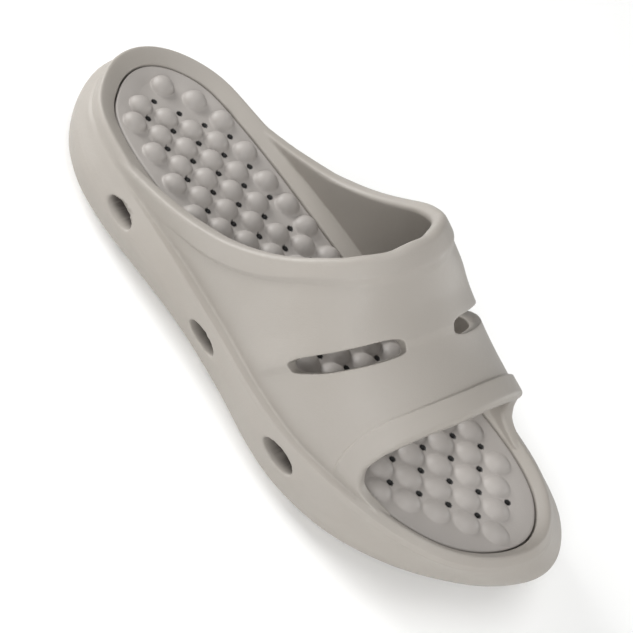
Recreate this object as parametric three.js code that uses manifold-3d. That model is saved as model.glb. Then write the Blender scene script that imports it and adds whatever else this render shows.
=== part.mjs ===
// Sport slide sandal for the right foot: one foam moulding (sole, rim and strap) and a loose massage footbed.
// Millimetres. +Y points to the toe, +X to the outer side of the foot, +Z up. The sole rests on z = 0.

import * as THREE from 'three';
import Module from 'manifold-3d';
import { mergeVertices } from 'three/addons/utils/BufferGeometryUtils.js';

// Overall sizes
const SOLE_LENGTH = 285.5;
const BALL_WIDTH = 112;
const INSOLE_LENGTH = 259.5;
const INSOLE_WIDTH = 82;
const INSOLE_THICKNESS = 5;
const INSOLE_CENTRE_Y = 0.25;
const INSOLE_EDGE_DROP = 0.7;
const BED_HEIGHT = 28;
const DISH_DEPTH = 1.5;
const TOE_SPRING = 12;
const CLEARANCE = 0.3;

// Side wall and rim
const WALL_HEIGHT = 17;
const RIM_WIDTH = 10;
const RIM_HEIGHT = 3.5;

// Strap
const STRAP_HEIGHT = 100;
const STRAP_PROUD = 0.2;
const STRAP_WALL = 5;
const STRAP_FOOT_DEPTH = 4;
const STRAP_FOOT_SINK = 0.5;
const COLLAR_BAND_RISE = 1.2;
const TRIM_BAND_RISE = 1.5;
const PANEL_STEP_RISE = 0.9;
const SLOT_WIDTH = 6.5;

// Tread
const TREAD_INSET = 9;
const PAD_HEIGHT = 3.5;
const PAD_BEVEL = 1.4;
const GROOVE_WIDTH = 6;
const HOLLOW_LENGTH = 66;
const HOLLOW_DEPTH = 17;
const HOLLOW_HEIGHT = 6.5;
const HOLLOW_AT = 0.4;

// Side vents and the drain channel under the footbed
const VENT_LENGTH = 17.5;
const VENT_HEIGHT = 6;
const DRAIN_WIDTH = 12;
const DRAIN_DEPTH = 3;

// Massage domes
const DOME_PITCH = 12.04;
const DOME_DIAMETER = 11.2;
const DOME_HEIGHT = 4.2;
const DOME_ROOM = 6.4;
const DOME_TURN = 41.5;
const DOME_START_X = 3.9;
const DOME_START_Y = -92.3;

// Number of points round the sole and along the arch of the strap
const ROUND_STEPS = 68;
const ARCH_STEPS = 28;

// Outline of the side wall seen from above. at: share of the sole length from the heel,
// lateral and medial: distance from the long axis as a share of the ball width.
const SOLE_OUTLINE = [
  { at: 0.08, lateral: 0.333, medial: 0.33 },
  { at: 0.16, lateral: 0.435, medial: 0.415 },
  { at: 0.25, lateral: 0.468, medial: 0.445 },
  { at: 0.34, lateral: 0.47, medial: 0.447 },
  { at: 0.45, lateral: 0.465, medial: 0.445 },
  { at: 0.55, lateral: 0.478, medial: 0.455 },
  { at: 0.65, lateral: 0.507, medial: 0.487 },
  { at: 0.72, lateral: 0.503, medial: 0.503 },
  { at: 0.8, lateral: 0.452, medial: 0.5 },
  { at: 0.88, lateral: 0.335, medial: 0.468 },
  { at: 0.95, lateral: 0.165, medial: 0.375 },
];
const SOLE_HEEL_X = -1;
const SOLE_TOE_X = -13;

// Outline of the footbed, shares of the insole length and width.
const INSOLE_OUTLINE = [
  { at: 0.03, lateral: 0.19, medial: 0.24 },
  { at: 0.08, lateral: 0.325, medial: 0.335 },
  { at: 0.16, lateral: 0.382, medial: 0.37 },
  { at: 0.26, lateral: 0.385, medial: 0.385 },
  { at: 0.38, lateral: 0.38, medial: 0.388 },
  { at: 0.5, lateral: 0.41, medial: 0.395 },
  { at: 0.62, lateral: 0.47, medial: 0.445 },
  { at: 0.73, lateral: 0.49, medial: 0.49 },
  { at: 0.82, lateral: 0.475, medial: 0.488 },
  { at: 0.9, lateral: 0.4, medial: 0.435 },
  { at: 0.96, lateral: 0.26, medial: 0.33 },
];
const INSOLE_HEEL_X = -3;
const INSOLE_TOE_X = -6;

// Heights along the sole. ground: underside of the tread, share of the toe spring; bed: edge of the footbed,
// share of its height; dish: fall of the footbed to its middle; dome: height of the massage domes.
const HEIGHTS = [
  { at: 0, ground: 0.217, bed: 1.007, dish: 0.4, dome: 1 },
  { at: 0.06, ground: 0.042, bed: 0.989, dish: 0.8, dome: 1 },
  { at: 0.1, ground: 0, bed: 0.982, dish: 1, dome: 1 },
  { at: 0.3, ground: 0, bed: 0.964, dish: 1, dome: 1 },
  { at: 0.5, ground: 0, bed: 0.929, dish: 0.8, dome: 0.905 },
  { at: 0.66, ground: 0, bed: 0.936, dish: 0.667, dome: 0.762 },
  { at: 0.78, ground: 0.125, bed: 1.007, dish: 0.533, dome: 0.643 },
  { at: 0.9, ground: 0.5, bed: 1.15, dish: 0.4, dome: 0.571 },
  { at: 1, ground: 1, bed: 1.261, dish: 0.2, dome: 0.571 },
];

// Places along the sole where the section of the moulding is given
const SECTION_AT = [0, 0.2, 0.42, 0.68, 0.86, 1];

// Section of the moulding from the tread up the side wall, over the rim and down to the footbed's edge.
// side: set in from the sole outline, share of the tread's inset; edge: set out from the footbed's edge,
// share of the rim's width. Height: ground over the ground, wall over it as a share of the wall's height, or
// bed over the footbed as a share of the rim's height.
const SECTION_RINGS = [
  { name: 'tread face', side: [1.13, 1.13, 1.19, 1.13, 1.02, 0.91], ground: 0 },
  { name: 'tread bevel', side: [1, 1, 1.056, 1, 0.889, 0.778], ground: PAD_BEVEL },
  { name: 'tread root', side: [1, 1, 1.056, 1, 0.889, 0.778], ground: PAD_HEIGHT },
  {
    name: 'base',
    side: [0.667, 0.667, 0.722, 0.667, 0.611, 0.556],
    wall: [0.27, 0.27, 0.353, 0.294, 0.265, 0.235],
  },
  {
    name: 'turn',
    side: [0.267, 0.311, 0.378, 0.344, 0.356, 0.444],
    wall: [0.318, 0.329, 0.47, 0.353, 0.324, 0.294],
  },
  {
    name: 'low wall',
    side: [0.111, 0.144, 0.222, 0.178, 0.144, 0.189],
    wall: [0.53, 0.53, 0.676, 0.588, 0.53, 0.53],
  },
  { name: 'high wall', side: [0.1, 0.1, 0.067, 0.056, 0.022, 0], wall: [1, 0.941, 1.03, 1.03, 0.941, 0.824] },
  {
    name: 'shoulder',
    edge: [0.99, 1.24, 1.72, 1.45, 0.86, 0.74],
    bed: [-1.03, -0.97, -0.26, -0.37, -0.43, -0.46],
  },
  { name: 'ledge', edge: [0.95, 1.12, 1.63, 1.36, 0.76, 0.66], bed: [-0.8, -0.69, 0, 0, 0.23, 0.11] },
  { name: 'crease', edge: [0.89, 1.02, 1.26, 1.04, 0.56, 0.54], bed: [-0.69, -0.6, 0.09, 0.09, 0.51, 0.49] },
  { name: 'rim flank', edge: [0.84, 0.96, 1.2, 0.94, 0.48, 0.46], bed: [0.51, 0.51, 0.63, 0.57, 0.69, 0.71] },
  { name: 'rim crest', edge: [0.74, 0.82, 1.06, 0.8, 0.4, 0.38], bed: [1, 1.03, 0.97, 0.8, 0.77, 0.86] },
  { name: 'rim slope', edge: [0.62, 0.66, 0.84, 0.64, 0.3, 0.3], bed: [0.97, 0.91, 0.83, 0.69, 0.69, 0.77] },
  { name: 'lip', edge: [0.05, 0.05, 0.05, 0.05, 0.05, 0.05], bed: [0.09, 0.09, 0.09, 0.09, 0.09, 0.09] },
];
const STRAP_FOOT_RING = SECTION_RINGS.find((ring) => ring.name === 'crease');

// Strap: lines that run over the arch, from the outer foot of the strap (0 degrees) to the inner (180).
// around: degrees over the arch; each line: share of the insole length where it lies.
const STRAP_LINES = [
  { around: 0, collar: 0.12, band: 0.26, slot: 0.6, trim: 0.782, front: 0.87 },
  { around: 4, collar: 0.19, band: 0.32, slot: 0.606, trim: 0.777, front: 0.832 },
  { around: 8, collar: 0.266, band: 0.38, slot: 0.613, trim: 0.774, front: 0.817 },
  { around: 13, collar: 0.342, band: 0.43, slot: 0.623, trim: 0.771, front: 0.809 },
  { around: 20, collar: 0.415, band: 0.48, slot: 0.637, trim: 0.768, front: 0.803 },
  { around: 31, collar: 0.486, band: 0.536, slot: 0.659, trim: 0.767, front: 0.804 },
  { around: 42, collar: 0.534, band: 0.575, slot: 0.676, trim: 0.77, front: 0.809 },
  { around: 56, collar: 0.573, band: 0.608, slot: 0.692, trim: 0.778, front: 0.815 },
  { around: 75, collar: 0.596, band: 0.63, slot: 0.706, trim: 0.786, front: 0.823 },
  { around: 90, collar: 0.597, band: 0.634, slot: 0.7095, trim: 0.789, front: 0.825 },
  { around: 103, collar: 0.586, band: 0.623, slot: 0.708, trim: 0.789, front: 0.825 },
  { around: 120, collar: 0.558, band: 0.597, slot: 0.699, trim: 0.787, front: 0.823 },
  { around: 134, collar: 0.514, band: 0.557, slot: 0.685, trim: 0.785, front: 0.82 },
  { around: 146, collar: 0.47, band: 0.517, slot: 0.664, trim: 0.782, front: 0.815 },
  { around: 159, collar: 0.405, band: 0.462, slot: 0.64, trim: 0.78, front: 0.811 },
  { around: 167, collar: 0.343, band: 0.42, slot: 0.623, trim: 0.78, front: 0.813 },
  { around: 173, collar: 0.255, band: 0.37, slot: 0.613, trim: 0.783, front: 0.822 },
  { around: 176, collar: 0.19, band: 0.32, slot: 0.606, trim: 0.786, front: 0.835 },
  { around: 180, collar: 0.12, band: 0.26, slot: 0.6, trim: 0.79, front: 0.87 },
];

// Ridge of the strap's arch along the foot: place along the insole, and share of the strap's height
const STRAP_RIDGE = [
  { at: 0.1, top: 1 },
  { at: 0.45, top: 1.01 },
  { at: 0.55, top: 0.995 },
  { at: 0.62, top: 0.92 },
  { at: 0.674, top: 0.805 },
  { at: 0.736, top: 0.715 },
  { at: 0.786, top: 0.675 },
  { at: 0.83, top: 0.653 },
  { at: 0.95, top: 0.6 },
];

// Cuts through the strap along its slot line, in degrees over the arch
const SLOTS = [
  { from: 17, to: 67.5 },
  { from: 95.5, to: 163 },
];

// Vents through the side wall: place along the sole, height of the middle as a share of the footbed's height,
// and how tall the oval is as a share of the vent's height
const VENTS = [
  { side: 'lateral', at: 0.268, middle: 0.668, tall: 0.8 },
  { side: 'lateral', at: 0.492, middle: 0.643, tall: 1 },
  { side: 'lateral', at: 0.69, middle: 0.686, tall: 1.1 },
  { side: 'medial', at: 0.268, middle: 0.668, tall: 0.8 },
  { side: 'medial', at: 0.492, middle: 0.643, tall: 1 },
  { side: 'medial', at: 0.69, middle: 0.686, tall: 1.1 },
];

// Domes along the inner edge of the heel: place along the insole, and depth in from its edge as a share of
// the domes' pitch
const EDGE_DOMES = [
  { at: 0.0055, depth: 0.966 },
  { at: 0.0765, depth: 0.94 },
  { at: 0.1415, depth: 0.645 },
  { at: 0.213, depth: 0.733 },
  { at: 0.279, depth: 0.8 },
  { at: 0.332, depth: 0.655 },
  { at: 0.381, depth: 0.567 },
];

// Grooves between the tread pads: out: from the long axis as a share of the ball width, at: share of the sole
// length from the heel
const GROOVES = [
  [{ out: -0.554, at: 0.752 }, { out: 0, at: 0.742 }, { out: 0.554, at: 0.75 }],
  [{ out: -0.536, at: 0.522 }, { out: 0, at: 0.527 }, { out: 0.536, at: 0.53 }],
  [{ out: -0.518, at: 0.286 }, { out: 0, at: 0.292 }, { out: 0.518, at: 0.29 }],
  [
    { out: 0.071, at: 0.292 },
    { out: 0.089, at: 0.4 },
    { out: 0.071, at: 0.527 },
    { out: 0.027, at: 0.64 },
    { out: -0.018, at: 0.742 },
    { out: -0.107, at: 0.8 },
  ],
];

const wasm = await Module();
wasm.setup();

// Smooth curve through the rows of a table, without overshoot.
function curve(rows, key, column) {
  const at = rows.map((row) => row[key]);
  const value = rows.map((row) => row[column]);
  const rise = at.slice(1).map((next, k) => (value[k + 1] - value[k]) / (next - at[k]));
  const slope = value.map((unused, k) => {
    if (k === 0 || k === value.length - 1) return rise[Math.min(k, rise.length - 1)];
    if (rise[k - 1] * rise[k] <= 0) return 0;
    return (2 * rise[k - 1] * rise[k]) / (rise[k - 1] + rise[k]);
  });
  return (place) => {
    const x = THREE.MathUtils.clamp(place, at[0], at[at.length - 1]);
    let k = 0;
    while (k < at.length - 2 && x > at[k + 1]) k += 1;
    const span = at[k + 1] - at[k];
    const s = (x - at[k]) / span;
    const start = (1 + 2 * s) * (1 - s) ** 2 * value[k] + s * (1 - s) ** 2 * span * slope[k];
    const end = s * s * (3 - 2 * s) * value[k + 1] - s * s * (1 - s) * span * slope[k + 1];
    return start + end;
  };
}

// A curve of shares as lengths.
function scaled(size, shares) {
  return (place) => size * shares(place);
}

// Closed outline round the foot. turn runs from 0 at the heel over the outer side to the toe (half a turn).
function outline(rows, length, width, centreY, heelX, toeX) {
  const turnAt = (at) => Math.acos(1 - 2 * at);
  const knots = [{ turn: 0, x: heelX }];
  rows.forEach((row) => knots.push({ turn: turnAt(row.at), x: row.lateral * width }));
  knots.push({ turn: Math.PI, x: toeX });
  [...rows].reverse().forEach((row) => {
    knots.push({ turn: 2 * Math.PI - turnAt(row.at), x: -row.medial * width });
  });
  const count = knots.length;
  const knot = (k) => {
    const lap = Math.floor(k / count);
    const row = knots[k - lap * count];
    return { turn: row.turn + lap * 2 * Math.PI, x: row.x };
  };
  const slope = (k) => (knot(k + 1).x - knot(k - 1).x) / (knot(k + 1).turn - knot(k - 1).turn);
  return (turn) => {
    const lap = Math.floor(turn / (2 * Math.PI));
    const place = turn - lap * 2 * Math.PI;
    let k = 0;
    while (k < count - 1 && place > knots[k + 1].turn) k += 1;
    const span = knot(k + 1).turn - knot(k).turn;
    const s = (place - knot(k).turn) / span;
    const start = (1 + 2 * s) * (1 - s) ** 2 * knot(k).x + s * (1 - s) ** 2 * span * slope(k);
    const end = s * s * (3 - 2 * s) * knot(k + 1).x - s * s * (1 - s) * span * slope(k + 1);
    return new THREE.Vector2(start + end, centreY - (length / 2) * Math.cos(place));
  };
}

// The same outline set out along its normal (in, when negative).
function setOut(line, turn, distance) {
  const step = 0.02;
  const ahead = line(turn + step);
  const along = ahead.sub(line(turn - step)).normalize();
  return line(turn).add(new THREE.Vector2(along.y, -along.x).multiplyScalar(distance));
}

const soleLine = outline(SOLE_OUTLINE, SOLE_LENGTH, BALL_WIDTH, 0, SOLE_HEEL_X, SOLE_TOE_X);
const insoleLine = outline(
  INSOLE_OUTLINE, INSOLE_LENGTH, INSOLE_WIDTH, INSOLE_CENTRE_Y, INSOLE_HEEL_X, INSOLE_TOE_X);
const ground = scaled(TOE_SPRING, curve(HEIGHTS, 'at', 'ground'));
const bed = scaled(BED_HEIGHT, curve(HEIGHTS, 'at', 'bed'));
const dish = scaled(DISH_DEPTH, curve(HEIGHTS, 'at', 'dish'));
const domeHeight = scaled(DOME_HEIGHT, curve(HEIGHTS, 'at', 'dome'));
const soleShare = (y) => THREE.MathUtils.clamp(y / SOLE_LENGTH + 0.5, 0, 1);
const turnOf = (k) => (2 * Math.PI * (k + 0.5)) / ROUND_STEPS;
const turnShare = (turn) => (1 - Math.cos(turn)) / 2;

// A column of a section ring as a smooth function of the place along the sole.
function along(values) {
  return curve(SECTION_AT.map((at, k) => ({ at, value: values[k] })), 'at', 'value');
}

// One ring of the moulding's section as a point on each turn.
function ringPoint(ring, turn) {
  const share = turnShare(turn);
  const flat = ring.side
    ? setOut(soleLine, turn, -TREAD_INSET * along(ring.side)(share))
    : setOut(insoleLine, turn, RIM_WIDTH * along(ring.edge)(share));
  const place = soleShare(flat.y);
  if (ring.bed) {
    return new THREE.Vector3(flat.x, flat.y, bed(place) + RIM_HEIGHT * along(ring.bed)(share));
  }
  const rise = ring.wall ? WALL_HEIGHT * along(ring.wall)(share) : ring.ground;
  return new THREE.Vector3(flat.x, flat.y, ground(place) + rise);
}

function loopOf(pointAt) {
  return Array.from({ length: ROUND_STEPS }, (unused, k) => pointAt(turnOf(k)));
}

// Solid between stacked loops; each loop runs counter-clockwise seen from the far end of the stack, and its
// ends are closed by a ladder between opposite points.
function skin(loops) {
  const size = loops[0].length;
  const points = loops.flat();
  const faces = [];
  for (let row = 0; row < loops.length - 1; row += 1) {
    for (let k = 0; k < size; k += 1) {
      const next = (k + 1) % size;
      const low = row * size;
      const high = low + size;
      faces.push(low + k, low + next, high + next, low + k, high + next, high + k);
    }
  }
  const top = (loops.length - 1) * size;
  for (let k = 0; k < size / 2 - 1; k += 1) {
    const far = size - 1 - k;
    faces.push(k, far, far - 1, k, far - 1, k + 1);
    faces.push(top + k, top + far - 1, top + far, top + k, top + k + 1, top + far - 1);
  }
  const mesh = new wasm.Mesh({
    numProp: 3,
    vertProperties: new Float32Array(points.flatMap((point) => point.toArray())),
    triVerts: new Uint32Array(faces),
  });
  return new wasm.Manifold(mesh);
}

// Surface of the footbed: turn round the foot, reach from the middle line (0) to the edge (1).
function bedPoint(turn, reach, drop, edgeGap) {
  const rim = setOut(insoleLine, turn, edgeGap);
  const opposite = setOut(insoleLine, 2 * Math.PI - turn, edgeGap);
  const middle = rim.clone().add(opposite).multiplyScalar(0.5);
  const flat = middle.lerp(rim, reach);
  const place = soleShare(flat.y);
  return new THREE.Vector3(flat.x, flat.y, bed(place) - dish(place) * (1 - reach * reach) - drop);
}

// Height of the seat's floor below the footbed.
function seatFloor(y) {
  return bed(soleShare(y)) - INSOLE_THICKNESS - CLEARANCE;
}

// Foam moulding: tread base, side wall, ledge, rim and the seat of the footbed.
function moulding() {
  const loops = SECTION_RINGS.map((ring) => loopOf((turn) => ringPoint(ring, turn)));
  const seatGap = CLEARANCE / 2;
  const seatDrop = INSOLE_THICKNESS + CLEARANCE;
  loops.push(loopOf((turn) => bedPoint(turn, 1, 0, seatGap)));
  [1, 0.8].forEach((reach) => loops.push(loopOf((turn) => bedPoint(turn, reach, seatDrop, seatGap))));
  return skin(loops);
}

// Cutter for one groove of the tread, with bevelled sides.
function groove(path) {
  const corners = path.map((point) => new THREE.Vector3(
    point.out * BALL_WIDTH, (point.at - 0.5) * SOLE_LENGTH, 0));
  const line = new THREE.CatmullRomCurve3(corners);
  const steps = 12;
  const loop = (half, lift) => {
    const right = [];
    const left = [];
    for (let k = 0; k <= steps; k += 1) {
      const middle = line.getPointAt(k / steps);
      const ahead = line.getTangentAt(k / steps);
      const across = new THREE.Vector3(ahead.y, -ahead.x, 0);
      [right, left].forEach((points, side) => {
        const point = middle.clone().addScaledVector(across, side === 0 ? half : -half);
        point.z = ground(soleShare(point.y)) + lift;
        points.push(point);
      });
    }
    return [...right, ...left.reverse()];
  };
  const half = GROOVE_WIDTH / 2;
  return skin([loop(half + 2 * PAD_BEVEL, -PAD_BEVEL), loop(half, PAD_BEVEL), loop(half, PAD_HEIGHT)]);
}

// Cutter for the hollow of the tread under the arch of the foot.
function archHollow() {
  const turn = 2 * Math.PI - Math.acos(1 - 2 * HOLLOW_AT);
  const middle = soleLine(turn);
  const steps = 20;
  const loop = (reach, height) => Array.from({ length: steps }, (unused, k) => {
    const angle = (2 * Math.PI * (k + 0.5)) / steps;
    const x = HOLLOW_DEPTH * reach * Math.cos(angle);
    const y = (HOLLOW_LENGTH / 2) * reach * Math.sin(angle);
    return new THREE.Vector3(middle.x + x, middle.y + y, height);
  });
  return skin([loop(1.08, -PAD_BEVEL), loop(1, PAD_BEVEL), loop(0.9, PAD_HEIGHT), loop(0.5, HOLLOW_HEIGHT)]);
}

// Strap surface: share along the insole, degrees over the arch, set out along the normal.
const ridge = scaled(STRAP_HEIGHT, curve(STRAP_RIDGE, 'at', 'top'));
function archPoint(share, around) {
  const turn = Math.acos(1 - 2 * THREE.MathUtils.clamp(share, 0.001, 0.999));
  const outer = ringPoint(STRAP_FOOT_RING, turn);
  const inner = ringPoint(STRAP_FOOT_RING, 2 * Math.PI - turn);
  const angle = THREE.MathUtils.degToRad(around);
  const point = outer.lerp(inner, (1 - Math.cos(angle)) / 2);
  point.z += (ridge(share) - point.z) * Math.sin(angle);
  return point;
}

function strapPoint(share, around, out) {
  const step = 0.01;
  const turnStep = 1.5;
  const low = THREE.MathUtils.clamp(around, turnStep, 180 - turnStep);
  const forward = archPoint(share + step, low).sub(archPoint(share - step, low));
  const over = archPoint(share, low + turnStep).sub(archPoint(share, low - turnStep));
  const normal = forward.cross(over).normalize();
  return archPoint(share, around).addScaledVector(normal, out);
}

// Columns of the strap from the collar to the front edge. set: along the foot from its line, share of the
// strap's wall; rise: of the outer face; lip: rounding of the inner face, share of the wall.
const STRAP_COLUMNS = [
  { line: 'collar', set: 0, rise: -0.67 * COLLAR_BAND_RISE, lip: 0.16 },
  { line: 'collar', set: 0.24, rise: 0.8 * COLLAR_BAND_RISE },
  { line: 'collar', set: 0.6, rise: COLLAR_BAND_RISE },
  { line: 'band', set: -0.24, rise: COLLAR_BAND_RISE },
  { line: 'band', set: 0.16, rise: 0 },
  { line: 'slot', set: -2.8, rise: 0 },
  { line: 'slot', set: -0.3, rise: PANEL_STEP_RISE },
  { line: 'slot', set: 0.2, rise: 0 },
  { line: 'trim', set: -0.08, rise: 0 },
  { line: 'trim', set: 0.1, rise: TRIM_BAND_RISE },
  { line: 'front', set: -0.36, rise: TRIM_BAND_RISE },
  { line: 'front', set: 0, rise: 0, lip: 0.16 },
];
const strapLine = {
  collar: curve(STRAP_LINES, 'around', 'collar'),
  band: curve(STRAP_LINES, 'around', 'band'),
  slot: curve(STRAP_LINES, 'around', 'slot'),
  trim: curve(STRAP_LINES, 'around', 'trim'),
  front: curve(STRAP_LINES, 'around', 'front'),
};

// One section of the strap at an angle over the arch: outer face from the collar forwards, inner face back.
function strapSection(around, drop) {
  const fromFoot = Math.min(around, 180 - around);
  const lift = THREE.MathUtils.smoothstep(fromFoot, 0, 12);
  const sink = STRAP_FOOT_SINK * (1 - lift);
  const place = (column, out) => {
    const share = strapLine[column.line](around) + (column.set * STRAP_WALL) / INSOLE_LENGTH;
    const point = strapPoint(share, around, out);
    point.z -= drop;
    return point;
  };
  const outer = STRAP_COLUMNS.map((column) => place(column, STRAP_PROUD + column.rise * lift - sink));
  const inner = STRAP_COLUMNS.map((column) => place(column, ((column.lip ?? 0) - 1) * STRAP_WALL));
  return [...outer, ...inner.reverse()];
}

function strap() {
  const loops = [strapSection(0, STRAP_FOOT_DEPTH)];
  for (let k = 0; k <= ARCH_STEPS; k += 1) {
    const even = k / ARCH_STEPS;
    loops.push(strapSection(180 * (even - 0.06 * Math.sin(2 * Math.PI * even)), 0));
  }
  loops.push(strapSection(180, STRAP_FOOT_DEPTH));
  return skin(loops);
}

// Cutter for one slot of the strap.
function slot(spec) {
  const half = (spec.to - spec.from) / 2;
  const middle = (spec.to + spec.from) / 2;
  const steps = 24;
  const loop = (out) => Array.from({ length: steps }, (unused, k) => {
    const turn = (2 * Math.PI * (k + 0.5)) / steps;
    const reach = Math.cos(turn);
    const around = middle - half * reach;
    const width = (SLOT_WIDTH / 2) * Math.sqrt(Math.sqrt(1 - reach ** 4));
    const share = strapLine.slot(around) + (Math.sign(Math.sin(turn)) * width) / INSOLE_LENGTH;
    return strapPoint(share, around, out);
  });
  return skin([loop(-2 * STRAP_WALL), loop(STRAP_WALL)]);
}

// Cutter for one vent: an oval duct that falls from the drain channel to the side wall.
function vent(spec) {
  const turn = Math.acos(1 - 2 * spec.at);
  const wall = setOut(soleLine, spec.side === 'lateral' ? turn : 2 * Math.PI - turn, VENT_HEIGHT / 2);
  const sign = Math.sign(wall.x);
  const steps = 16;
  const loop = (x, middle) => Array.from({ length: steps }, (unused, k) => {
    const angle = (sign * 2 * Math.PI * (k + 0.5)) / steps;
    const y = wall.y + (VENT_LENGTH / 2) * Math.cos(angle);
    return new THREE.Vector3(x, y, middle + (VENT_HEIGHT / 2) * spec.tall * Math.sin(angle));
  });
  return skin([loop(0, seatFloor(wall.y)), loop(wall.x, spec.middle * BED_HEIGHT)]);
}

// Cutter for the drain channel in the seat under the footbed.
function drain() {
  const rows = 12;
  const end = (0.57 * VENT_LENGTH) / SOLE_LENGTH;
  const rear = VENTS[0].at - end;
  const front = VENTS[2].at + end;
  const loop = (rise) => {
    const right = [];
    const left = [];
    for (let k = 0; k < rows; k += 1) {
      const y = SOLE_LENGTH * (rear + ((front - rear) * k) / (rows - 1) - 0.5);
      const z = seatFloor(y) + rise;
      right.push(new THREE.Vector3(DRAIN_WIDTH / 2, y, z));
      left.push(new THREE.Vector3(-DRAIN_WIDTH / 2, y, z));
    }
    return [...right, ...left.reverse()];
  };
  return skin([loop(-DRAIN_DEPTH), loop(DRAIN_DEPTH / 2)]);
}

// Points round the edge of the footbed, and the one nearest to a place on it.
const EDGE_POINTS = Array.from({ length: 240 }, (unused, k) => insoleLine((2 * Math.PI * k) / 240));
function nearestEdge(flat) {
  return EDGE_POINTS.reduce((best, edge) => (edge.distanceTo(flat) < best.distanceTo(flat) ? edge : best));
}

function insideInsole(flat) {
  let inside = false;
  EDGE_POINTS.forEach((edge, k) => {
    const next = EDGE_POINTS[(k + 1) % EDGE_POINTS.length];
    if (edge.y > flat.y === next.y > flat.y) return;
    const crossing = edge.x + ((next.x - edge.x) * (flat.y - edge.y)) / (next.y - edge.y);
    if (flat.x < crossing) inside = !inside;
  });
  return inside;
}

// Centres of the domes: one row along the inner edge of the heel, and a square grid turned across the foot.
function domeCentres() {
  const edgeRow = EDGE_DOMES.map((row) => (
    setOut(insoleLine, 2 * Math.PI - Math.acos(1 - 2 * row.at), -row.depth * DOME_PITCH)));
  const rowEnd = edgeRow.at(-1).y + DOME_PITCH / 2;
  const centres = [...edgeRow];
  const turn = THREE.MathUtils.degToRad(DOME_TURN);
  for (let i = -6; i < 20; i += 1) {
    for (let j = -6; j < 20; j += 1) {
      const a = (i + 0.5) * DOME_PITCH;
      const b = (j + 0.5) * DOME_PITCH;
      const flat = new THREE.Vector2(
        DOME_START_X + b * Math.cos(turn) - a * Math.sin(turn),
        DOME_START_Y + b * Math.sin(turn) + a * Math.cos(turn));
      const edge = nearestEdge(flat);
      const room = edge.distanceTo(flat);
      const behind = edge.x < 0 && flat.y < rowEnd && room < EDGE_DOMES[0].depth * DOME_PITCH;
      const close = edgeRow.some((centre) => centre.distanceTo(flat) < DOME_PITCH * 0.8);
      if (insideInsole(flat) && room > DOME_ROOM && !close && !behind) centres.push(flat);
    }
  }
  return centres;
}

// Height of the footbed's top at a point.
function bedHeight(flat) {
  const side = flat.x > 0 ? 1 : -1;
  const sameSide = EDGE_POINTS.filter((edge) => Math.sign(edge.x) === side);
  const abreast = sameSide.reduce((best, edge) => (
    Math.abs(edge.y - flat.y) < Math.abs(best.y - flat.y) ? edge : best));
  const reach = THREE.MathUtils.clamp(Math.abs(flat.x / abreast.x), 0, 1);
  const place = soleShare(flat.y);
  return bed(place) - dish(place) * (1 - reach * reach);
}

function dome(centre) {
  const steps = 6;
  const place = soleShare(centre.y);
  const height = domeHeight(place);
  const base = bedHeight(centre);
  const tilt = (bed(place + 0.01) - bed(place - 0.01)) / (0.02 * SOLE_LENGTH);
  const loop = (reach, rise) => Array.from({ length: steps }, (unused, k) => {
    const angle = (2 * Math.PI * (k + 0.5)) / steps;
    const x = (DOME_DIAMETER / 2) * reach * Math.cos(angle);
    const y = (DOME_DIAMETER / 2) * reach * Math.sin(angle);
    return new THREE.Vector3(centre.x + x, centre.y + y, base + rise + tilt * y);
  });
  return skin([loop(1.1, -0.17 * height), loop(0.78, 0.62 * height), loop(0.32, height)]);
}

// Massage footbed: a plate with rows of domes set square across the diagonal.
function insole() {
  const gap = -CLEARANCE / 2;
  let solid = skin([
    loopOf((turn) => bedPoint(turn, 0.8, INSOLE_THICKNESS, gap)),
    loopOf((turn) => bedPoint(turn, 1, INSOLE_THICKNESS, gap)),
    loopOf((turn) => bedPoint(turn, 1, INSOLE_EDGE_DROP, gap)),
    loopOf((turn) => bedPoint(turn, 0.97, 0, gap)),
    loopOf((turn) => bedPoint(turn, 0.6, 0, gap)),
  ]);
  domeCentres().forEach((centre) => {
    solid = solid.add(dome(centre));
  });
  return solid;
}

function toGeometry(solid) {
  const mesh = solid.getMesh();
  const geometry = new THREE.BufferGeometry();
  geometry.setAttribute('position', new THREE.BufferAttribute(new Float32Array(mesh.vertProperties), 3));
  geometry.setIndex(new THREE.BufferAttribute(new Uint32Array(mesh.triVerts), 1));
  return mergeVertices(geometry);
}

// Moves a geometry so that the middle of the sandal's box lies on the origin, seen from above.
function centred(geometry, box) {
  const middle = box.getCenter(new THREE.Vector3());
  return geometry.translate(-middle.x, -middle.y, -box.min.z);
}

let shell = moulding();
GROOVES.forEach((path) => {
  shell = shell.subtract(groove(path));
});
shell = shell.subtract(archHollow());
shell = shell.add(strap());
SLOTS.forEach((spec) => {
  shell = shell.subtract(slot(spec));
});
shell = shell.subtract(drain());
VENTS.forEach((spec) => {
  shell = shell.subtract(vent(spec));
});

const group = new THREE.Group();
const shellGeometry = toGeometry(shell);
shellGeometry.computeBoundingBox();
const box = shellGeometry.boundingBox.clone();
const shellMesh = new THREE.Mesh(
  centred(shellGeometry, box),
  new THREE.MeshStandardMaterial({ color: '#b9b5af', roughness: 0.6, metalness: 0 }));
shellMesh.name = 'upper_and_sole';
group.add(shellMesh);
const insoleMesh = new THREE.Mesh(
  centred(toGeometry(insole()), box),
  new THREE.MeshStandardMaterial({ color: '#b2aea8', roughness: 0.65, metalness: 0 }));
insoleMesh.name = 'insole';
group.add(insoleMesh);

export default group;
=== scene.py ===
import math

import bmesh
import bpy
import numpy as np
from mathutils import Matrix, Vector


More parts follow.
